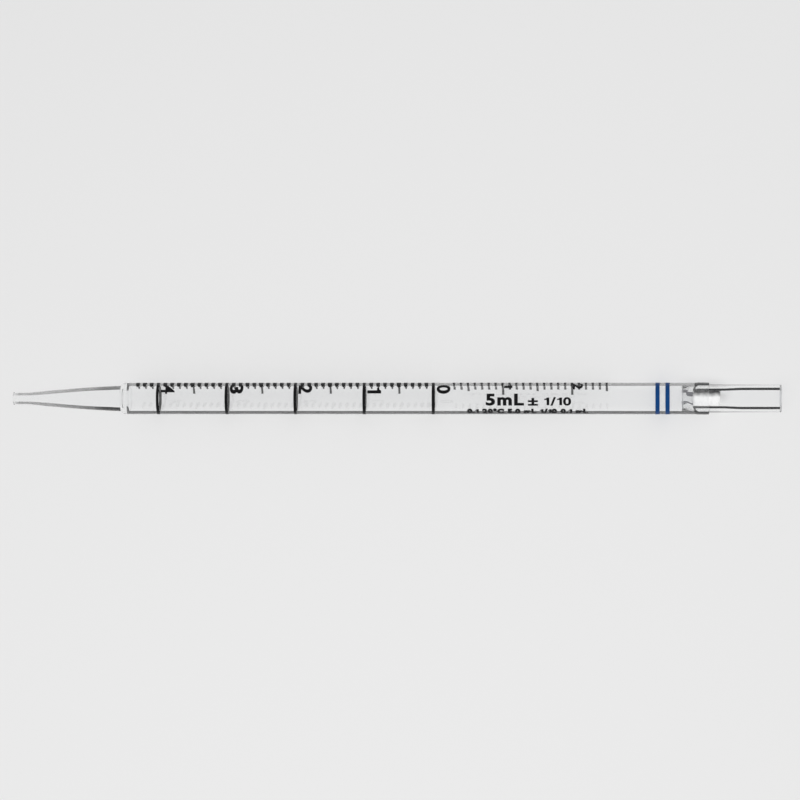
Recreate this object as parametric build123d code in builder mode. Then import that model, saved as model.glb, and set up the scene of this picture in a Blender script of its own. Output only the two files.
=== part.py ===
from build123d import *
import math
import os

# A 5 mL serological pipette of clear polystyrene, lying along X, in millimetres.
# The origin is the centre of the mouth end's face. +X points out of the mouth, and the tip is towards -X.
# Every piece is a body of revolution about X: its profile is drawn in the XY plane and revolved about X.
# Stations along the pipette are distances from the tip's end, and at() turns one into X.

# Driving dimensions
overall_length = 233.0
barrel_radius = 4.75
barrel_bore = 3.9  # bores are given as radii

# Tip: a moulded jet that swells in an S from its end to its root
tip_length = 33.2  # from the tip's end to the shoulder
tip_end_radius = 1.9
tip_root_radius = 3.88
tip_skin = [(10.5, 2.38), (20.5, 3.19)]  # station and radius of the points that turn the S
tip_skin_slopes = (0.03, 0.04)  # at the tip's end and at the root
orifice_radius = 1.05
orifice_length = 3.0  # the straight stretch of bore at the end
tip_root_bore = 3.1
tip_core = [(11.5, 1.56), (21.0, 2.4)]
tip_core_slopes = (0.0, 0.04)

# Joint of the tip and the barrel: a rounded shoulder that the barrel butts on, and a spigot inside it
shoulder_length = 1.3
shoulder_foot = 0.05  # the straight step before the shoulder's curve
tip_spigot_length = 1.4
lead_out = 0.6  # a chamfer opens the tip's bore towards the barrel's

# Mouthpiece: a moulded tube with a spigot, a swelling under the barrel's bell and a straight grip
mouthpiece_length = 29.7
mouth_spigot_length = 3.6
mouth_spigot_lip = 0.5  # the wall left at the spigot's inner end
funnel_length = 3.3  # the bore narrows over this length to the plug's seat
plug_bore = 2.45
plug_seat_end = 12.7  # from the mouthpiece's inner end
mouth_bore = 2.65
grip_radius = 4.12
grip_length = 12.0
mouth_round = 0.2

# Bell: the barrel's end, swollen over the mouthpiece
bell_rise = 1.3  # the length over which the barrel swells
bell_bore = 4.2
bell_radius = 4.85
bell_length = 3.2

# Filter plug
plug_length = 8.2
plug_edge = 0.3

# Scale: the barrel's bore sets the spacing of the millilitre lines
millilitre = 1000 / (math.pi * barrel_bore**2)
lowest_line = 44.6  # the station of the 4 mL line, below which the last millilitre is held

# Stations
barrel_start = tip_length + shoulder_length
mouth_start = overall_length - mouthpiece_length
bell_start = mouth_start + mouth_spigot_length
bell_full = bell_start + bell_rise
barrel_end = bell_full + bell_length
grip_start = overall_length - grip_length
plug_start = mouth_start + funnel_length
plug_end = plug_start + plug_length


def at(station, radius):
    """A point of a profile, from its distance to the tip's end and its distance to the axis."""
    return (station - overall_length, radius)


def swell(first, turns, last, slopes):
    """The curve of a profile that swells from first to last through the points that turn it."""
    points = [at(station, radius) for station, radius in (first, *turns, last)]
    return Spline(*points, tangents=[(1, slope) for slope in slopes])


with BuildPart() as tip:
    with BuildSketch(Plane.XY):
        with BuildLine():
            skin = swell((0, tip_end_radius), tip_skin, (tip_length, tip_root_radius), tip_skin_slopes)
            core = swell(
                (orifice_length, orifice_radius), tip_core, (barrel_start, tip_root_bore), tip_core_slopes
            )
            shoulder = EllipticalCenterArc(
                at(barrel_start, tip_root_radius + shoulder_foot),
                x_radius=shoulder_length,
                y_radius=barrel_radius - tip_root_radius - shoulder_foot,
                start_angle=90,
                arc_size=90,
            )
            Line(skin @ 1, shoulder @ 1)
            Polyline(
                shoulder @ 0,
                at(barrel_start, barrel_bore),
                at(barrel_start + tip_spigot_length, barrel_bore),
                at(barrel_start + tip_spigot_length, tip_root_bore + lead_out),
                at(barrel_start + lead_out, tip_root_bore + lead_out),
                core @ 1,
            )
            Polyline(core @ 0, at(0, orifice_radius), skin @ 0)
        make_face()
    revolve(axis=Axis.X)
tip.part.label = "tip"

with BuildPart() as barrel:
    with BuildSketch(Plane.XY):
        with BuildLine():
            Polyline(
                at(barrel_start, barrel_bore),
                at(bell_start, barrel_bore),
                at(bell_full, bell_bore),
                at(barrel_end, bell_bore),
                at(barrel_end, bell_radius),
                at(bell_full, bell_radius),
                at(bell_start, barrel_radius),
                at(barrel_start, barrel_radius),
                close=True,
            )
        make_face()
    revolve(axis=Axis.X)
barrel.part.label = "barrel"

with BuildPart() as mouthpiece:
    with BuildSketch(Plane.XY):
        with BuildLine():
            Polyline(
                at(mouth_start, barrel_bore - mouth_spigot_lip),
                at(mouth_start, barrel_bore),
                at(bell_start, barrel_bore),
                at(bell_full, bell_bore),
                at(barrel_end, bell_bore),
                at(grip_start, grip_radius),
                at(overall_length, grip_radius),
                at(overall_length, mouth_bore),
                at(grip_start, mouth_bore),
                at(mouth_start + plug_seat_end, plug_bore),
                at(plug_start, plug_bore),
                close=True,
            )
        make_face()
    revolve(axis=Axis.X)
    mouth_face = mouthpiece.faces().sort_by(Axis.X)[-1]
    fillet(mouth_face.edges(), radius=mouth_round)
mouthpiece.part.label = "mouthpiece"

with BuildPart() as filter_plug:
    with BuildSketch(Plane.XY):
        with BuildLine():
            Polyline(
                at(plug_start, 0),
                at(plug_start, plug_bore - plug_edge),
                at(plug_start + plug_edge, plug_bore),
                at(plug_end - plug_edge, plug_bore),
                at(plug_end, plug_bore - plug_edge),
                at(plug_end, 0),
                close=True,
            )
        make_face()
    revolve(axis=Axis.X)
filter_plug.part.label = "filter_plug"

# What the tip's bore and the barrel hold below the lowest line should come to a millilitre.
with BuildPart() as tip_contents:
    with BuildSketch(Plane.XY):
        with BuildLine():
            add(core)
            Polyline(core @ 1, at(barrel_start, 0), at(0, 0), at(0, orifice_radius), core @ 0)
        make_face()
    revolve(axis=Axis.X)
last_millilitre = tip_contents.part.volume / 1000 + (lowest_line - barrel_start) / millilitre
print("a millilitre of scale is", round(millilitre, 2), "mm long")
print("below the lowest line there are", round(last_millilitre, 3), "mL")

os.makedirs("parts", exist_ok=True)
export_step(tip.part, "parts/tip.step")
export_step(barrel.part, "parts/barrel.step")
export_step(mouthpiece.part, "parts/mouthpiece.step")
export_step(filter_plug.part, "parts/filter_plug.step")
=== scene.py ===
import math
import random

import bmesh
import bpy
from mathutils import Matrix, Vector, geometry, noise


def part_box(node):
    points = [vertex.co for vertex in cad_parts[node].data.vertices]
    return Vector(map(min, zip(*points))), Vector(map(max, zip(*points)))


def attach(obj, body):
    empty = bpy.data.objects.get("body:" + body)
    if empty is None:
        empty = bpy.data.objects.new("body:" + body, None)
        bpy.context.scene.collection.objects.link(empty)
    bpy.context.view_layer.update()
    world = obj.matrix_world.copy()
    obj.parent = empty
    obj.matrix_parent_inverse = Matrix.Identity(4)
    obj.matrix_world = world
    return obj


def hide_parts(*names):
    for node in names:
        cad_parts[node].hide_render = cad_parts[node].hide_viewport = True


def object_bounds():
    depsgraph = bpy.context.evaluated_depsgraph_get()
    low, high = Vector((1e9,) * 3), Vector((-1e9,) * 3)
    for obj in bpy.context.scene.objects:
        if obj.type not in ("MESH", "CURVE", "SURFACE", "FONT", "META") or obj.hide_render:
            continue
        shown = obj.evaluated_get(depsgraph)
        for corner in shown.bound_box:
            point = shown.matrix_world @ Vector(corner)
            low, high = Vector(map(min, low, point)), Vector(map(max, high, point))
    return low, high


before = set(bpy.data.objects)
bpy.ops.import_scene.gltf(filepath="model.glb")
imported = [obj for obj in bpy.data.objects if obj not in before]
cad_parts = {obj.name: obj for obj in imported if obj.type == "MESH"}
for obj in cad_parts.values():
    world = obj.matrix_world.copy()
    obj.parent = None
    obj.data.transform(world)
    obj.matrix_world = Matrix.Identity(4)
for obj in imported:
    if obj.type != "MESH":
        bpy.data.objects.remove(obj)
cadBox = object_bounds()
print("frame loaded")

mm = 0.001  # sizes below are in millimetres, and Blender's unit is the metre
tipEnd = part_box("tip")[0].x  # stations along the pipette are measured from here


# Shared shapes

turning = {
    "segments": 224,
    "sharpOver": math.radians(32),  # edges that turn more than this are shaded sharp
    "mergeWithin": 1e-6,
    "roundSteps": 6,
    "supportAt": 0.25,  # a loop this far from each rounded edge keeps long faces shaded flat
}


def stationOf(x):
    return (x - tipEnd) / mm


def onAxisPlane(station, radius):
    return Vector((tipEnd + station * mm, radius * mm, 0))


def flowing(knots, steps):
    # A smooth line through (station, radius, slope) knots.
    line = []
    for (s0, r0, m0), (s1, r1, m1) in zip(knots, knots[1:]):
        third = (s1 - s0) / 3
        handles = (s0 + third, r0 + third * m0), (s1 - third, r1 - third * m1)
        ends = [Vector((s, r, 0)) for s, r in ((s0, r0), *handles, (s1, r1))]
        line += [(p.x, p.y) for p in geometry.interpolate_bezier(*ends, steps)][:-1]
    return line + [knots[-1][:2]]


def rounded(before, corner, after, radius):
    # The points of a round corner, with a support point on each side where there is room.
    a, c, b = (Vector((*p, 0)) for p in (before, corner, after))
    toA, toB = (a - c).normalized(), (b - c).normalized()
    half = toA.angle(toB) / 2
    reach = radius / math.tan(half)
    centre = c + (toA + toB).normalized() * radius / math.sin(half)
    start, end = c + toA * reach - centre, c + toB * reach - centre
    points = []
    if (a - c).length > reach + 2 * turning["supportAt"]:
        points.append(c + toA * (reach + turning["supportAt"]))
    for step in range(turning["roundSteps"] + 1):
        share = step / turning["roundSteps"]
        points.append(centre + start.slerp(end, share).normalized() * radius)
    if (b - c).length > reach + 2 * turning["supportAt"]:
        points.append(c + toB * (reach + turning["supportAt"]))
    return [(p.x, p.y) for p in points]


def spun(bm, geom, turn, steps, closed=True):
    # Spins geom about the axis by turn, in radians. A closed spin ends where it began.
    bmesh.ops.spin(bm, geom=geom, cent=(0, 0, 0), axis=(1, 0, 0), angle=turn, steps=steps, use_merge=closed)


def smoothShade(bm):
    bmesh.ops.remove_doubles(bm, verts=bm.verts, dist=turning["mergeWithin"])
    bmesh.ops.recalc_face_normals(bm, faces=bm.faces)
    for face in bm.faces:
        face.smooth = True
    for edge in bm.edges:
        edge.smooth = edge.calc_face_angle(0) < turning["sharpOver"]


def asObject(bm, name, looks):
    mesh = bpy.data.meshes.new(name)
    bm.to_mesh(mesh)
    bm.free()
    for look in looks:
        mesh.materials.append(look)
    made = bpy.data.objects.new(name, mesh)
    bpy.context.scene.collection.objects.link(made)
    return made


def asPiece(bm, name, looks, slotName):
    piece = asObject(bm, name, looks)
    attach(piece, "root")
    # Light that bounces between the floor, the fibre and the ink passes the clear plastic.
    piece.visible_diffuse = slotName != "clear_plastic"
    return piece


def turnedShell(outline, slots):
    # Spins a closed outline of (station, radius) about the axis. slots gives each face's material slot.
    bm = bmesh.new()
    verts = [bm.verts.new(onAxisPlane(*point)) for point in outline]
    edges = [bm.edges.new(pair) for pair in zip(verts, verts[1:] + verts[:1])]
    spun(bm, verts + edges, math.tau, turning["segments"])
    smoothShade(bm)
    for face in bm.faces:
        face.material_index = slots(face)
    return bm


# Materials


def nodesOf(name):
    material = bpy.data.materials.new(name)
    material.use_nodes = True
    tree = material.node_tree
    tree.nodes.clear()
    out = tree.nodes.new("ShaderNodeOutputMaterial")
    return material, tree, out


def addNode(tree, kind, **values):
    node = tree.nodes.new(kind)
    for key, value in values.items():
        if hasattr(node, key):
            setattr(node, key, value)
        else:
            node.inputs[key.replace("_", " ")].default_value = value
    return node


def ramped(tree, source, stops):
    # A colour ramp over a value: stops are (position, grey).
    ramp = tree.nodes.new("ShaderNodeValToRGB")
    ramp.color_ramp.interpolation = "LINEAR"
    points = ramp.color_ramp.elements
    while len(points) < len(stops):
        points.new(0.5)
    for point, (position, grey) in zip(points, stops):
        point.position = position
        point.color = (grey, grey, grey, 1)
    tree.links.new(source, ramp.inputs["Fac"])
    return ramp.outputs["Color"]


def rescaled(tree, source, first, last, clamp=True):
    # A value that goes from first to last, each a pair of (value in, value out).
    change = addNode(tree, "ShaderNodeMapRange", clamp=clamp)
    ends = {"From Min": first[0], "From Max": last[0], "To Min": first[1], "To Max": last[1]}
    for socket, value in ends.items():
        change.inputs[socket].default_value = value
    tree.links.new(source, change.inputs["Value"])
    return change.outputs["Result"]


def mathNode(tree, operation, first, second=None):
    # A Math node of two values, each a socket or a number.
    node = addNode(tree, "ShaderNodeMath", operation=operation)
    for socket, value in zip(node.inputs, (first, second)):
        if hasattr(value, "links"):
            tree.links.new(value, socket)
        elif value is not None:
            socket.default_value = value
    return node.outputs["Value"]


def noiseOver(tree, place, **values):
    noiseNode = addNode(tree, "ShaderNodeTexNoise", **values)
    tree.links.new(place, noiseNode.inputs["Vector"])
    return noiseNode.outputs["Fac"]


def bumped(tree, height, strength, distance):
    bump = addNode(tree, "ShaderNodeBump", Strength=strength, Distance=distance)
    tree.links.new(height, bump.inputs["Height"])
    return bump.outputs["Normal"]


def blended(tree, share, first, second):
    # A mix of two colours, each a socket or a colour.
    mix = addNode(tree, "ShaderNodeMixRGB")
    for socket, value in (("Fac", share), ("Color1", first), ("Color2", second)):
        if hasattr(value, "links"):
            tree.links.new(value, mix.inputs[socket])
        else:
            mix.inputs[socket].default_value = value
    return mix.outputs["Color"]


def mixed(tree, share, first, second):
    # A mix of two shaders.
    mix = addNode(tree, "ShaderNodeMixShader")
    for socket, source in zip(mix.inputs, (share, first, second)):
        tree.links.new(source, socket)
    return mix.outputs["Shader"]


def lettingLightThrough(tree, surface, tint):
    # The surface, with a tinted shadow instead of a black one.
    through = addNode(tree, "ShaderNodeBsdfTransparent")
    through.inputs["Color"].default_value = tint
    path = addNode(tree, "ShaderNodeLightPath")
    return mixed(tree, path.outputs["Is Shadow Ray"], surface, through.outputs["BSDF"])


plasticLook = {
    "tint": (0.99, 0.993, 0.994, 1),
    "shadowTint": (0.99, 0.99, 0.992, 1),
    "ior": 1.59,
    "shade": (0.012, 0.013, 0.015, 1),  # painted shade, mixed in for the dark edges
    "roughFrom": 0.0,
    "roughTo": 0.03,
    "drawLines": (4, 900, 900),  # noise that is long in X and fine across it
    "bump": 0.03,
    "bumpHeight": 0.02,  # in mm
}
# The dark edges of clear plastic are painted shade: nothing dark stands round it here, so each rim mixes in
# a dark shade along its lines, in place of the dark surroundings that real plastic shows. A line with an
# index follows Fresnel, at an index chosen for its width, and its stops are (share reflected, share of
# shade). Any other line is a band of chosen slants, and its stops are (facing, share of shade). Fades are an
# axis and two ends of (place in mm, share). The fades along Y are painted shade too: they make the edges
# towards -Y darker than those towards +Y.
reflected = [(0.8, 0), (1, 1)]
alongTip = [("X", (-233, 0.2), (-231.3, 1)), ("X", (-222, 0.72), (-209, 1)), ("X", (-209, 0.8), (-205, 1))]
rims = {
    "skin": [],
    "barrelBore": [
        {
            "index": 1.64,
            "stops": reflected,
            "fades": [("Y", (-3.4, 0.85), (3.4, 0.55)), ("X", (-199.0, 0), (-198.2, 1))],
        }
    ],
    "bellBore": [{"index": 1.7, "stops": reflected}],
    "tipBore": [
        {
            "index": 1.75,
            "stops": reflected,
            "fades": [*alongTip, ("X", (-199.6, 1), (-199.2, 0)), ("Y", (-1.5, 1), (1.5, 0.78))],
        }
    ],
    "mouthSkin": [
        {"index": 1.59, "stops": [(0.2, 0), (0.33, 1)], "fades": [("X", (-20.5, 1), (-2, 0.12))]},
    ],
    "mouthBore": [
        {"stops": [(0.185, 0), (0.21, 1), (0.34, 1), (0.38, 0)]},
        # painted shade: a wider dark line along the plug's upper side, towards +Y
        {
            "stops": [(0.1, 0), (0.165, 0.85), (0.34, 0.85), (0.38, 0)],
            "fades": [("X", (-27, 0), (-26.4, 1)), ("X", (-18.6, 1), (-18, 0)), ("Y", (0.3, 0), (0.9, 1))],
        },
    ],
}


def rimShare(tree, coords, rim, fromInside):
    # How much painted shade is mixed in: by how a ray meets the surface, by the side it comes from and by
    # place.
    place = addNode(tree, "ShaderNodeSeparateXYZ")
    tree.links.new(coords.outputs["Object"], place.inputs["Vector"])
    share = 0
    for line in rim:
        if "index" in line:
            met = addNode(tree, "ShaderNodeFresnel", IOR=line["index"]).outputs["Fac"]
        else:
            met = addNode(tree, "ShaderNodeLayerWeight", Blend=0.5).outputs["Facing"]
        shade = ramped(tree, met, line["stops"])
        for axis, (nearAt, nearShare), (farAt, farShare) in line.get("fades", ()):
            fade = rescaled(tree, place.outputs[axis], (nearAt * mm, nearShare), (farAt * mm, farShare))
            shade = mathNode(tree, "MULTIPLY", shade, fade)
        share = mathNode(tree, "MAXIMUM", share, shade)
    side = addNode(tree, "ShaderNodeNewGeometry").outputs["Backfacing"]
    if not fromInside:
        side = mathNode(tree, "SUBTRACT", 1, side)
    return mathNode(tree, "MULTIPLY", share, side)


def clearPlastic(rimName):
    look = plasticLook
    material, tree, out = nodesOf("clear" + rimName[0].upper() + rimName[1:])
    link = tree.links.new
    coords = addNode(tree, "ShaderNodeTexCoord")
    stretch = addNode(tree, "ShaderNodeMapping")
    stretch.inputs["Scale"].default_value = look["drawLines"]
    link(coords.outputs["Object"], stretch.inputs["Vector"])
    grain = noiseOver(tree, stretch.outputs["Vector"], Scale=1.0, Detail=2.0)
    plastic = addNode(tree, "ShaderNodeBsdfPrincipled")
    plastic.inputs["Base Color"].default_value = look["tint"]
    plastic.inputs["IOR"].default_value = look["ior"]
    plastic.inputs["Transmission Weight"].default_value = 1
    link(rescaled(tree, grain, (0, look["roughFrom"]), (1, look["roughTo"])), plastic.inputs["Roughness"])
    link(bumped(tree, grain, look["bump"], look["bumpHeight"] * mm), plastic.inputs["Normal"])
    surface = plastic.outputs["BSDF"]
    if rims[rimName]:
        # painted shade: the dark edges are a dark diffuse mixed into the clear plastic
        shade = addNode(tree, "ShaderNodeBsdfDiffuse")
        shade.inputs["Color"].default_value = look["shade"]
        share = rimShare(tree, coords, rims[rimName], rimName.endswith("Bore"))
        surface = mixed(tree, share, surface, shade.outputs["BSDF"])
    link(lettingLightThrough(tree, surface, look["shadowTint"]), out.inputs["Surface"])
    return material


cutLook = {
    "tint": (0.84, 0.85, 0.86, 1),
    "roughness": 0.4,
    "grain": 9000,
    "bump": 0.5,
    "depth": 0.4,  # in mm from the end
}


def cutPlastic():
    # The ground, slightly cloudy face of a cut end.
    look = cutLook
    material, tree, out = nodesOf("cutPlastic")
    coords = addNode(tree, "ShaderNodeTexCoord")
    grain = noiseOver(tree, coords.outputs["Object"], Scale=look["grain"], Detail=3.0)
    face = addNode(tree, "ShaderNodeBsdfPrincipled", Roughness=look["roughness"], IOR=plasticLook["ior"])
    face.inputs["Base Color"].default_value = look["tint"]
    face.inputs["Transmission Weight"].default_value = 1
    uneven = bumped(tree, grain, look["bump"], plasticLook["bumpHeight"] * mm)
    tree.links.new(uneven, face.inputs["Normal"])
    tree.links.new(lettingLightThrough(tree, face.outputs["BSDF"], look["tint"]), out.inputs["Surface"])
    return material


inkLook = {
    "grain": 5200,
    "specular": 0.15,
    "roughFrom": 0.35,
    "roughTo": 0.6,
    "black": ((0.0015, 0.0015, 0.002, 1), (0.004, 0.004, 0.005, 1)),
    "blue": ((0.002, 0.037, 0.15, 1), (0.004, 0.057, 0.21, 1)),
}


def printedInk(colour):
    look = inkLook
    material, tree, out = nodesOf(colour + "Ink")
    link = tree.links.new
    coords = addNode(tree, "ShaderNodeTexCoord")
    grain = noiseOver(tree, coords.outputs["Object"], Scale=look["grain"], Detail=3.0)
    ink = addNode(tree, "ShaderNodeBsdfPrincipled")
    ink.inputs["Specular IOR Level"].default_value = look["specular"]
    link(blended(tree, grain, *look[colour]), ink.inputs["Base Color"])
    link(rescaled(tree, grain, (0, look["roughFrom"]), (1, look["roughTo"])), ink.inputs["Roughness"])
    link(ink.outputs["BSDF"], out.inputs["Surface"])
    return material


fibreTones = {
    "low": (0.97, 0.97, 0.965, 1),
    "high": (1.0, 1.0, 1.0, 1),
    "clumps": 900,
    "strands": 2600,
    "strandHeight": 0.1,  # in mm
    # painted shade: the plug's upper side, towards +Y, is drawn nearly black as if in shadow
    "paintedShade": (0.03, 0.03, 0.034, 1),
    "paintedShadeAcross": (0.3, 1.6),  # the painted shade grows between these, in mm towards +Y
    "paintedShadeAbove": (0.3, 1.2),  # and is kept off its flanks, in mm towards +Z
    "paintedShadeUneven": 0.5,
    # painted shade: the white stray fibres are drawn dark grey, as they look against the light
    "stray": (0.1, 0.1, 0.12, 1),
}


def fibreLook():
    look = fibreTones
    material, tree, out = nodesOf("plugFibre")
    link = tree.links.new
    coords = addNode(tree, "ShaderNodeTexCoord").outputs["Object"]
    clumps = noiseOver(tree, coords, Scale=look["clumps"], Detail=6.0, Roughness=0.7)
    strands = noiseOver(tree, coords, Scale=look["strands"], Detail=4.0, Distortion=2.0)
    tone = blended(tree, clumps, look["low"], look["high"])
    # Painted shade: the fibre darkens towards +Y on its upper side, unevenly with the clumps.
    place = addNode(tree, "ShaderNodeSeparateXYZ")
    link(coords, place.inputs["Vector"])
    left, right = (edge * mm for edge in look["paintedShadeAcross"])
    low, high = (edge * mm for edge in look["paintedShadeAbove"])
    across = rescaled(tree, place.outputs["Y"], (left, 0), (right, 1), clamp=False)
    uneven = mathNode(tree, "SUBTRACT", clumps, look["paintedShadeUneven"])
    paintedShadeAmount = mathNode(tree, "ADD", across, uneven)
    paintedShadeAmount.node.use_clamp = True
    dark = mathNode(tree, "MULTIPLY", paintedShadeAmount, rescaled(tree, place.outputs["Z"], (low, 0), (high, 1)))
    fibre = addNode(tree, "ShaderNodeBsdfPrincipled", Roughness=0.85)
    link(blended(tree, dark, tone, look["paintedShade"]), fibre.inputs["Base Color"])
    link(bumped(tree, strands, 0.5, look["strandHeight"] * mm), fibre.inputs["Normal"])
    link(fibre.outputs["BSDF"], out.inputs["Surface"])
    return material


def strayLook():
    # Stray fibres in the dark grey of painted shade.
    material, tree, out = nodesOf("strayFibre")
    fibre = addNode(tree, "ShaderNodeBsdfPrincipled", Roughness=0.8)
    fibre.inputs["Base Color"].default_value = fibreTones["stray"]
    tree.links.new(fibre.outputs["BSDF"], out.inputs["Surface"])
    return material


plastic = {rimName: clearPlastic(rimName) for rimName in rims}
cutEnd = cutPlastic()
blackInk = printedInk("black")
blueInk = printedInk("blue")
plugFibre = fibreLook()
strayFibre = strayLook()
print("materials made")


# Barrel: an extruded tube, belled over the mouthpiece

barrel = {
    "radius": 4.75,
    "bore": 3.9,
    "bellRadius": 4.85,
    "bellBore": 4.2,
    "bellFrom": 206.9,
    "bellFull": 208.2,
    "bellSteps": 10,
    "bellLineFrom": 207.1,  # the bell bore's painted dark edge starts here
    "supportAt": 0.4,  # loops this far from the rise keep the straight walls shaded straight
    "edgeRound": 0.15,
    "boreWithin": 4.3,
    "endNormal": 0.7,  # faces that look along X by more than this are the tube's ends
}
barrelStart, barrelEnd = (stationOf(corner.x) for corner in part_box("barrel"))


def isBore(face, within):
    # True for a face that looks towards the axis from within a radius.
    middle = face.calc_center_median()
    across = Vector((0, middle.y, middle.z))
    return face.normal.dot(across) < 0 and across.length < within * mm


def makeBarrel():
    b = barrel
    inner = flowing([(b["bellFrom"], b["bore"], 0), (b["bellFull"], b["bellBore"], 0)], b["bellSteps"])
    outer = flowing([(b["bellFull"], b["bellRadius"], 0), (b["bellFrom"], b["radius"], 0)], b["bellSteps"])
    near, far = b["bellFull"] + b["supportAt"], b["bellFrom"] - b["supportAt"]
    mouthIn = (barrelEnd, b["bellBore"])
    mouthOut = (barrelEnd, b["bellRadius"])
    outline = [(barrelStart, b["bore"]), (far, b["bore"]), *inner, (near, b["bellBore"])]
    outline += rounded(outline[-1], mouthIn, mouthOut, b["edgeRound"])
    outline += rounded(mouthIn, mouthOut, (near, mouthOut[1]), b["edgeRound"])
    outline += [(near, mouthOut[1]), *outer, (far, b["radius"]), (barrelStart, b["radius"])]

    def slots(face):
        if abs(face.normal.x) > b["endNormal"] or not isBore(face, b["boreWithin"]):
            return 0
        return 2 if stationOf(face.calc_center_median().x) > b["bellLineFrom"] else 1

    looks = [plastic[name] for name in ("skin", "barrelBore", "bellBore")]
    piece = asPiece(turnedShell(outline, slots), "barrelTube", looks, "clear_plastic")
    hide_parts("barrel")


# Tip: a moulded jet with a shoulder and a spigot inside the barrel

tip = {
    # (station, radius, slope)
    "skin": [(0, 1.9, 0.03), (10.5, 2.38, 0.07), (20.5, 3.19, 0.075), (33.2, 3.88, 0.04)],
    "core": [(3, 1.05, 0), (11.5, 1.56, 0.092), (21, 2.4, 0.076), (33.9, 3.08, 0.06)],
    "steps": 14,
    "shoulderFoot": 0.05,
    "shoulderSteps": 14,
    "leadOut": (3.8, 0.4),  # radius and slope where the bore opens into the barrel
    "weld": 0.01,  # how far the tip runs into the barrel's plastic
    "endRound": 0.12,
    "boreWithin": 3.85,
}


def makeTip():
    t = tip
    spigotEnd = stationOf(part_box("tip")[1].x)
    skin = flowing(t["skin"], t["steps"])
    core = flowing([*t["core"], (spigotEnd, *t["leadOut"])], t["steps"])
    seat, spigot = barrelStart + t["weld"], barrel["bore"] + t["weld"]
    root, foot = skin[-1][0], skin[-1][1] + t["shoulderFoot"]
    endOut, endIn = skin[0], (0, core[0][1])
    outline = rounded(endIn, endOut, skin[1], t["endRound"]) + skin[1:]
    for step in range(t["shoulderSteps"] + 1):
        angle = math.pi / 2 * step / t["shoulderSteps"]
        rise = (barrel["radius"] - foot) * math.sin(angle)
        outline.append((barrelStart - (barrelStart - root) * math.cos(angle), foot + rise))
    outline += [(seat, barrel["radius"]), (seat, spigot), (spigotEnd, spigot), *reversed(core)]
    outline += rounded(core[0], endIn, endOut, t["endRound"])

    def slots(face):
        inJet = stationOf(face.calc_center_median().x) < barrelStart
        return 1 if inJet and isBore(face, t["boreWithin"]) else 0

    looks = [plastic[name] for name in ("skin", "tipBore")]
    piece = asPiece(turnedShell(outline, slots), "tipJet", looks, "clear_plastic")
    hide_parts("tip")


# Mouthpiece: a moulded tube whose spigot is inside the barrel

mouthpiece = {
    "spigot": 3.86,
    "lip": 3.4,
    "underBell": 4.16,
    "grip": 4.12,
    "gripLength": 12,
    "mouthBore": 2.65,
    "seatBore": 2.45,
    "seatFrom": 206.6,
    "seatTo": 216,
    "mouthRound": 0.2,
    "boreWithin": 3.5,
}


def makeMouthpiece():
    m = mouthpiece
    start, end = (stationOf(corner.x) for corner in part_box("mouthpiece"))
    gripFrom = end - m["gripLength"]
    rise = [(barrel["bellFrom"], m["spigot"], 0), (barrel["bellFull"], m["underBell"], 0)]
    cut = start + cutLook["depth"]
    outline = [(start, m["lip"]), (start, m["spigot"]), (cut, m["spigot"])]
    outline.append((barrel["bellFrom"] - barrel["supportAt"], m["spigot"]))
    outline += flowing(rise, barrel["bellSteps"]) + [(barrelEnd, m["underBell"]), (gripFrom, m["grip"])]
    outer, inner = (end, m["grip"]), (end, m["mouthBore"])
    outline += rounded(outline[-1], outer, inner, m["mouthRound"])
    outline += rounded(outer, inner, (gripFrom, m["mouthBore"]), m["mouthRound"])
    outline += [(gripFrom, m["mouthBore"]), (m["seatTo"], m["seatBore"]), (m["seatFrom"], m["seatBore"])]

    def slots(face):
        station = stationOf(face.calc_center_median().x)
        if min(station - start, end - station) < cutLook["depth"]:
            return 3
        if isBore(face, m["boreWithin"]):
            return 2 if station > m["seatFrom"] else 0
        return 1 if station > barrelEnd else 0

    looks = [plastic[name] for name in ("skin", "mouthSkin", "mouthBore")] + [cutEnd]
    piece = asPiece(turnedShell(outline, slots), "mouthTube", looks, "clear_plastic")
    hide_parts("mouthpiece")


makeBarrel()
makeTip()
makeMouthpiece()
print("clear pieces made")


# Print: lines, numerals and bands of ink on the barrel

inkDepth = (-0.005, 0.04)  # how far the ink reaches into and out of the barrel's surface
inkMesh = {"degreesPerStep": 3, "fewestSteps": 6, "cutEvery": 0.3}  # lettering is cut up so that it can bend
millilitre = 1000 / (math.pi * barrel["bore"] ** 2)
scale = {
    "lowestLine": 44.66,
    "lowest": 4,
    "ringWidth": 0.83,
    "skew": 0.034,  # the print is this much out of square: mm along the barrel for each mm towards +Z
    "tickWidth": 0.5,
    "halfTickWidth": 0.62,
    "headWidth": 1.1,  # each tick is thick where the print begins
    "halfHeadWidth": 1.3,
    "head": ((-27, 0), (-20, 1), (29, 1), (41, 0)),  # (angle, share of the extra width)
    "tick": (41, -42),  # degrees round the barrel, from +Y towards +Z
    "halfTick": (44, -69),
    "firstTick": 43,  # in tenths of a millilitre
    "reserveFrom": -3,  # the 0 stands where the first two would be
    "reserveTo": -25,
    "reserveWidth": 0.68,
    "reserveTick": (23, -47),
    "reserveHalf": (26, -56),
    "reserveFull": (35, -74),
    "reserveFullWidth": 0.66,
    # volume, gap, height, angle and width
    "reserveFigures": ((-1, 0.6, 2.5, 27, 1.8), (-2, 0.3, 3.1, 21, 2.8)),
    "reserveBold": 0.04,
    "figureHeight": 4.2,
    "figureGap": 1.2,
    "figureFrom": 32.4,
    "figureWidth": 3.35,
    "figureBold": 0.035,
    "oneFrom": 47.9,  # the 1 is narrower than the others, and starts further round
    "oneWidth": 1.95,
    "fourBold": 0.01,
}


def stationOfVolume(volume):
    return scale["lowestLine"] + (scale["lowest"] - volume) * millilitre


def inkSection(width):
    # The corners of a line's section: (station from its middle, radius).
    low, high = (barrel["radius"] + depth for depth in inkDepth)
    return (-width / 2, low), (width / 2, low), (width / 2, high), (-width / 2, high)


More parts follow.
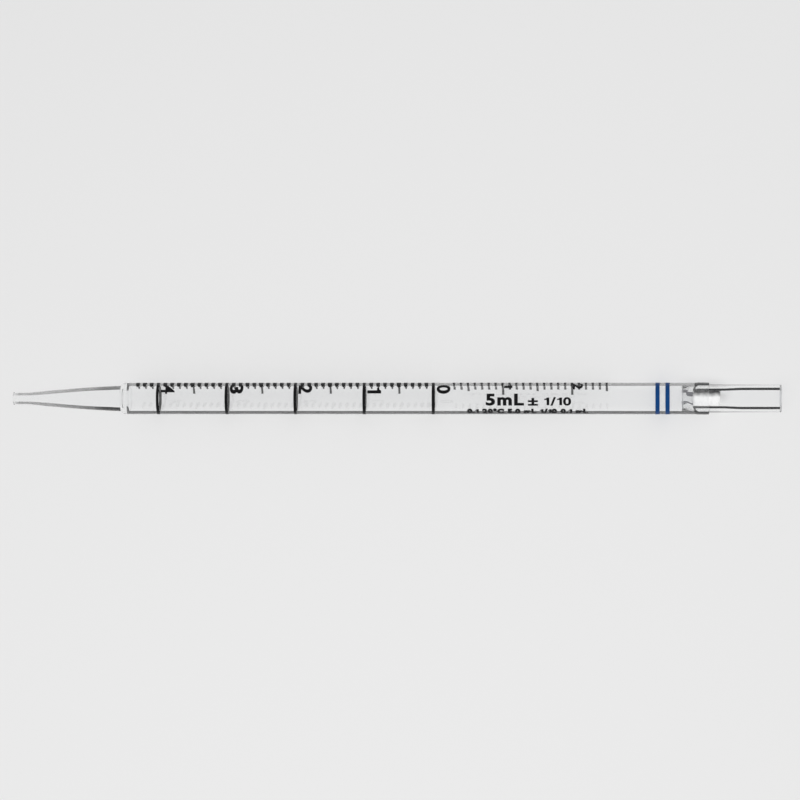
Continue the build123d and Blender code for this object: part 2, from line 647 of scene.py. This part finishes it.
def addBand(bm, station, width, fromAngle=0, toAngle=360):
    # A band of ink round the barrel, or part of one, spun from its section.
    verts = [bm.verts.new(onAxisPlane(station + s, r)) for s, r in inkSection(width)]
    turn = Matrix.Rotation(math.radians(fromAngle), 3, "X")
    bmesh.ops.rotate(bm, verts=verts, cent=(0, 0, 0), matrix=turn)
    sweep = toAngle - fromAngle
    whole = abs(sweep) >= 360
    if whole:
        geom = verts + [bm.edges.new(pair) for pair in zip(verts, verts[1:] + verts[:1])]
    else:
        face = bm.faces.new(verts)
        geom = verts + list(face.edges) + [face]
    steps = max(inkMesh["fewestSteps"], round(abs(sweep) / inkMesh["degreesPerStep"]))
    spun(bm, geom, math.radians(sweep), steps, whole)


def addTick(bm, station, arc, width, headWidth):
    # A line part of the way round the barrel, with a thick head.
    knots = scale["head"]
    steps = round(abs(arc[1] - arc[0]) / inkMesh["degreesPerStep"])
    rows = []
    for k in range(steps + 1):
        angle = arc[0] + (arc[1] - arc[0]) * k / steps
        share = 0
        for (a0, share0), (a1, share1) in zip(knots, knots[1:]):
            if a0 <= angle <= a1:
                share = share0 + (share1 - share0) * (angle - a0) / (a1 - a0)
        corners = inkSection(width + (headWidth - width) * share)
        turn = Matrix.Rotation(math.radians(angle), 3, "X")
        rows.append([bm.verts.new(turn @ onAxisPlane(station + s, r)) for s, r in corners])
    bm.faces.new(rows[0])
    bm.faces.new(rows[-1])
    for near, far in zip(rows, rows[1:]):
        for k in range(4):
            bm.faces.new((near[k], near[k - 1], far[k - 1], far[k]))


def inkPiece(bm, name, ink=blackInk, slotName="black_ink"):
    smoothShade(bm)
    piece = asPiece(bm, name, [ink], slotName)
    piece.visible_shadow = False


def makeScale():
    s = scale
    rings, ticks, reserve = bmesh.new(), bmesh.new(), bmesh.new()
    for tenths in range(s["firstTick"], s["reserveTo"] - 1, -1):
        station = stationOfVolume(tenths / 10)
        if tenths >= 0 and tenths % 10 == 0:
            addBand(rings, station, s["ringWidth"])
        elif tenths > 0:
            if tenths % 5 == 0:
                addTick(ticks, station, s["halfTick"], s["halfTickWidth"], s["halfHeadWidth"])
            else:
                addTick(ticks, station, s["tick"], s["tickWidth"], s["headWidth"])
        elif tenths % 10 == 0:
            addBand(reserve, station, s["reserveFullWidth"], *s["reserveFull"])
        elif tenths <= s["reserveFrom"]:
            arc = s["reserveHalf"] if tenths % 5 == 0 else s["reserveTick"]
            addBand(reserve, station, s["reserveWidth"], *arc)
    outOfSquare = Matrix.Identity(4)
    outOfSquare[0][2] = s["skew"]
    for part in (rings, ticks):
        bmesh.ops.transform(part, matrix=outOfSquare, verts=part.verts)
    inkPiece(rings, "millilitreRings")
    inkPiece(ticks, "tenthTicks")
    inkPiece(reserve, "reserveTicks")


lettering = {
    # in the font's own units, where a figure is 0.7 high
    "wordGap": 0.36,
    "letterGap": 0.13,
    "mergeWithin": 1e-5,
    "oneMiddle": 0.2,  # the 1 is made bolder away from here
    "oneStem": [(0.17, 0), (0.27, 0), (0.27, 0.69), (0.19, 0.69)],
    "oneFlag": [(0.13, 0.6), (0.02, 0.57), (0.02, 0.48), (0.17, 0.48)],
}


def extent(bm):
    low = Vector([min(v.co[i] for v in bm.verts) for i in range(3)])
    high = Vector([max(v.co[i] for v in bm.verts) for i in range(3)])
    return low, high


def meshFrom(curve, bm):
    # Adds a curve's mesh to bm.
    holder = bpy.data.objects.new("drawing", curve)
    bpy.context.scene.collection.objects.link(holder)
    bpy.context.view_layer.update()
    mesh = bpy.data.meshes.new_from_object(holder)
    bpy.data.objects.remove(holder)
    bm.from_mesh(mesh)
    bpy.data.meshes.remove(mesh)


def glyph(letter, bold):
    # One letter as a flat mesh. The font's 1 is a bare bar, so it is drawn here with its flag.
    bm = bmesh.new()
    if letter == "1":
        corners = lettering["oneStem"] + lettering["oneFlag"]
        middle = lettering["oneMiddle"]
        bm.faces.new([bm.verts.new((x + math.copysign(bold, x - middle), y, 0)) for x, y in corners])
        return bm
    curve = bpy.data.curves.new("letter", "FONT")
    curve.body = letter
    curve.size = 1
    curve.offset = bold
    curve.resolution_u = 4
    meshFrom(curve, bm)
    bmesh.ops.remove_doubles(bm, verts=bm.verts, dist=lettering["mergeWithin"])
    return bm


def flatText(words, bold, gap):
    # The words as a flat mesh in its own x and y.
    bm = bmesh.new()
    pen = 0
    for letter in words:
        if letter == " ":
            pen += lettering["wordGap"]
            continue
        part = glyph(letter, bold)
        low, high = extent(part)
        bmesh.ops.translate(part, verts=part.verts, vec=(pen - low.x, 0, 0))
        pen += high.x - low.x + gap - 2 * bold
        joinInto(bm, part)
    return bm


def wrapText(words, height, width, place, bold, gap=lettering["letterGap"]):
    # Fits the words to a height and a width in millimetres, and wraps them on the barrel by place(u, v).
    bm = flatText(words, bold, gap)
    low, high = extent(bm)
    size = high - low
    bmesh.ops.translate(bm, verts=bm.verts, vec=-low)
    bmesh.ops.scale(bm, verts=bm.verts, vec=(width / size.x, height / size.y, 1))
    cut = inkMesh["cutEvery"]
    for along, length in ((Vector((1, 0, 0)), width), (Vector((0, 1, 0)), height)):
        for k in range(1, math.ceil(length / cut)):
            everything = bm.verts[:] + bm.edges[:] + bm.faces[:]
            bmesh.ops.bisect_plane(bm, geom=everything, plane_co=along * (k * cut), plane_no=along)
    raised = bmesh.ops.extrude_face_region(bm, geom=bm.faces[:])["geom"]
    top = [item for item in raised if isinstance(item, bmesh.types.BMVert)]
    bmesh.ops.translate(bm, verts=bm.verts, vec=(0, 0, inkDepth[0]))
    bmesh.ops.translate(bm, verts=top, vec=(0, 0, inkDepth[1] - inkDepth[0]))
    for vert in bm.verts:
        station, angle = place(vert.co.x, vert.co.y)
        radius = barrel["radius"] + vert.co.z
        x = tipEnd + station * mm
        vert.co = Vector((x, radius * math.cos(angle) * mm, radius * math.sin(angle) * mm))
    return bm


def joinInto(bm, part):
    mesh = bpy.data.meshes.new("joining")
    part.to_mesh(mesh)
    part.free()
    bm.from_mesh(mesh)
    bpy.data.meshes.remove(mesh)


def sideways(station, angle):
    # Numerals that read from the side: tops towards the mouth.
    return lambda u, v: (station + v, math.radians(angle) + u / barrel["radius"])


def lengthways(station, angle):
    # Words that run towards the mouth.
    return lambda u, v: (station + u, math.radians(angle) - v / barrel["radius"])


capacity = {
    "baseline": 117,  # degrees from +Y towards +Z
    "parts": (  # words, station, length, height, boldness, gap between letters
        ("5mL", 144.4, 11.5, 3.7, 0.045, 0.2),
        ("\u00b1", 157.1, 3.0, 2.4, 0.035, 0.13),
        ("1/10", 162.0, 8.1, 2.65, 0.035, 0.13),
    ),
    "noteBaseline": 160,
    "note": ("0.1 20\u00b0C 5.0 mL 1/10 0.1 mL", 138.7, 36.5, 2.6, 0.08, 0.15),
}


def makeNumerals():
    s = scale
    figures = bmesh.new()
    for volume in range(s["lowest"], -1, -1):
        start = s["oneFrom"] if volume == 1 else s["figureFrom"]
        width = s["oneWidth"] if volume == 1 else s["figureWidth"]
        bold = s["fourBold"] if volume == 4 else s["figureBold"]
        place = sideways(stationOfVolume(volume) + s["figureGap"], start)
        joinInto(figures, wrapText(str(volume), s["figureHeight"], width, place, bold))
    inkPiece(figures, "scaleNumerals")
    reserve = bmesh.new()
    for volume, gap, height, start, width in s["reserveFigures"]:
        place = sideways(stationOfVolume(volume) + gap, start)
        joinInto(reserve, wrapText(str(-volume), height, width, place, s["reserveBold"]))
    inkPiece(reserve, "reserveNumerals")


def makeMarking():
    c = capacity
    marking = bmesh.new()
    lines = [(*part, c["baseline"]) for part in c["parts"]] + [(*c["note"], c["noteBaseline"])]
    for words, start, length, height, bold, gap, baseline in lines:
        joinInto(marking, wrapText(words, height, length, lengthways(start, baseline), bold, gap))
    inkPiece(marking, "capacityMarking")


bands = {"stations": (195.95, 198.95), "width": 1.28}


def makeBands():
    bm = bmesh.new()
    for station in bands["stations"]:
        addBand(bm, station, bands["width"])
    inkPiece(bm, "colourBands", blueInk, "blue_ink")


makeScale()
makeNumerals()
makeMarking()
makeBands()
print("print made")


# Fibre plug in the mouthpiece's seat

plug = {
    "radius": 2.4,
    "around": 96,
    "along": 90,
    "waist": (0.62, 0.05, 0.25),  # place, reach and depth
    "endRound": 0.9,
    "least": 0.6,  # the ends' share of the radius
    "lumps": 0.3,
    "lumpScale": 850,
    "lumpNoise": (0.8, 2.0, 4),  # fineness, lacunarity and octaves
    "lumpSink": 0.35,
    "lumpsFrom": 0.1,  # the ends' middles stay where they are
    "poleRadius": 0.0005,
    "mergeWithin": 2e-6,
}


def makePlug():
    p = plug
    low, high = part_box("filter_plug")
    start, length = stationOf(low.x), (high.x - low.x) / mm
    waistAt, reach, depth = p["waist"]
    outline = []
    for k in range(p["along"] + 1):
        t = k / p["along"]
        fromEnd = min(t, 1 - t) * length
        swell = 1 if fromEnd > p["endRound"] else math.sqrt(1 - (1 - fromEnd / p["endRound"]) ** 2)
        waist = depth * math.exp(-(((t - waistAt) / reach) ** 2))
        outline.append((start + t * length, p["radius"] * (p["least"] + (1 - p["least"]) * swell) - waist))
    outline = [(start, p["poleRadius"]), *outline, (start + length, p["poleRadius"])]
    bm = bmesh.new()
    verts = [bm.verts.new(onAxisPlane(*point)) for point in outline]
    edges = [bm.edges.new(pair) for pair in zip(verts, verts[1:])]
    spun(bm, verts + edges, math.tau, p["around"])
    bmesh.ops.remove_doubles(bm, verts=bm.verts, dist=p["mergeWithin"])
    bmesh.ops.recalc_face_normals(bm, faces=bm.faces)
    for vert in bm.verts:
        across = Vector((0, vert.co.y, vert.co.z))
        if across.length > p["lumpsFrom"] * mm:
            bulge = noise.fractal(vert.co * p["lumpScale"], *p["lumpNoise"]) - p["lumpSink"]
            room = p["radius"] * mm - across.length
            vert.co += across.normalized() * min(bulge * p["lumps"] * mm, room)
    for face in bm.faces:
        face.smooth = True
    piece = asPiece(bm, "fibrePlug", [plugFibre], "plug_fibre")
    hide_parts("filter_plug")


# Each lock of stray fibre has a number of fibres and follows a line of (station, y, z) out of the plug.
locks = (
    (26, ((207, 1.2, 0.6), (205.9, 1.2, 0.8), (205.2, 1.4, 0.8), (204.9, 2.2, 0.4), (203.5, 2.1, 0))),
    (22, ((206.9, 0.9, 0.6), (205.3, 0.8, 0.8), (204.8, 1.4, 0.8), (205.4, 1.8, 0.6), (206.8, 1.5, 0.2))),
    (16, ((205.2, 2.4, 0.2), (204.6, 2.7, 0), (204, 2.6, 0), (203.4, 2.1, 0.2))),
    (12, ((207, -1.7, 0.5), (205.9, -1.5, 0.8), (205.2, -0.8, 0.9), (204.2, -0.9, 0.8), (203.3, -1.3, 0.4))),
    (6, ((205, -1.2, 0.2), (204.3, -2, 0), (203.5, -1.9, 0), (203.4, -2.5, 0))),
)
wisps = {"spread": 0.3, "radius": 0.06, "seed": 11}


def makeWisps():
    w = wisps
    chance = random.Random(w["seed"])
    bm = bmesh.new()
    for fibres, lock in locks:
        for _ in range(fibres):
            curve = bpy.data.curves.new("fibre", "CURVE")
            curve.dimensions = "3D"
            curve.bevel_depth = w["radius"] * mm
            curve.bevel_resolution = 1
            curve.resolution_u = 4
            curve.use_fill_caps = True
            line = curve.splines.new("NURBS")
            line.points.add(len(lock) - 1)
            for point, (station, y, z) in zip(line.points, lock):
                stray = [chance.uniform(-w["spread"], w["spread"]) * mm for _ in range(3)]
                point.co = (tipEnd + station * mm + stray[0], y * mm + stray[1], z * mm + stray[2], 1)
            line.order_u = 4
            line.use_endpoint_u = True
            meshFrom(curve, bm)
    smoothShade(bm)
    asPiece(bm, "strayFibres", [strayFibre], "plug_fibre")


makePlug()
makeWisps()
print("plug made")


# Stage, light and camera

stage = {
    "floorSize": 4.0,
    "floorColour": (0.815, 0.815, 0.815, 1),
    "worldColour": (0.7, 0.7, 0.7, 1),
    "worldStrength": 0.4,
}


def makeFloor():
    bm = bmesh.new()
    bmesh.ops.create_grid(bm, x_segments=1, y_segments=1, size=stage["floorSize"] / 2)
    bmesh.ops.translate(bm, verts=bm.verts, vec=(cadBox[0].x / 2, 0, cadBox[0].z))
    material, tree, out = nodesOf("floorPaint")
    paint = addNode(tree, "ShaderNodeBsdfPrincipled", Roughness=1.0)
    paint.inputs["Base Color"].default_value = stage["floorColour"]
    paint.inputs["Specular IOR Level"].default_value = 0
    tree.links.new(paint.outputs["BSDF"], out.inputs["Surface"])
    asObject(bm, "floor", [material])


def makeWorld():
    # Rays that show the world see a pale grey, and its light on the scene is dimmer and white.
    world = bpy.data.worlds.new("studio")
    bpy.context.scene.world = world
    world.use_nodes = True
    tree = world.node_tree
    tree.nodes.clear()
    out = tree.nodes.new("ShaderNodeOutputWorld")
    seen = addNode(tree, "ShaderNodeBackground", Strength=1.0)
    seen.inputs["Color"].default_value = stage["worldColour"]
    light = addNode(tree, "ShaderNodeBackground", Strength=stage["worldStrength"])
    light.inputs["Color"].default_value = (1, 1, 1, 1)
    path = addNode(tree, "ShaderNodeLightPath")
    direct = path.outputs["Is Camera Ray"]
    for kind in ("Is Glossy Ray", "Is Transmission Ray"):
        direct = mathNode(tree, "MAXIMUM", direct, path.outputs[kind])
    shown = mixed(tree, direct, light.outputs["Background"], seen.outputs["Background"])
    tree.links.new(shown, out.inputs["Surface"])


lamps = {
    "key": {"at": (-0.05, -0.3, 1.0), "size": 0.9, "watts": 7.2},
    "fill": {"at": (0.3, 0.6, 0.8), "size": 0.8, "watts": 1.5},
}


def makeLamps():
    middle = Vector((cadBox[0].x / 2, 0, 0))
    for name, lamp in lamps.items():
        data = bpy.data.lights.new(name, "AREA")
        data.shape = "SQUARE"
        data.size = lamp["size"]
        data.energy = lamp["watts"]
        holder = bpy.data.objects.new(name, data)
        holder.location = middle + Vector(lamp["at"])
        aim = middle - holder.location
        holder.rotation_euler = aim.to_track_quat("-Z", "Y").to_euler()
        holder.visible_glossy = False
        holder.visible_transmission = False
        bpy.context.scene.collection.objects.link(holder)


camera = {
    "target": (-114.78, -0.46, 0),
    "distance": 1045,
    "tilt": 4.3,  # degrees towards the mouth
    "frameWidth": 242.13,
    "sensor": 36,
}


def makeCamera():
    c = camera
    data = bpy.data.cameras.new("camera")
    data.sensor_width = c["sensor"]
    data.lens = c["sensor"] * c["distance"] / c["frameWidth"]
    data.clip_start = 0.01
    holder = bpy.data.objects.new("camera", data)
    tilt = math.radians(c["tilt"])
    away = Vector((math.sin(tilt), 0, math.cos(tilt)))
    holder.location = (Vector(c["target"]) + away * c["distance"]) * mm
    holder.rotation_euler = (0, tilt, 0)
    bpy.context.scene.collection.objects.link(holder)
    bpy.context.scene.camera = holder


makeFloor()
makeWorld()
makeLamps()
makeCamera()
scene = bpy.context.scene
scene.view_settings.view_transform = "Standard"
scene.cycles.max_bounces = 24
scene.cycles.transmission_bounces = 24
print("stage made")
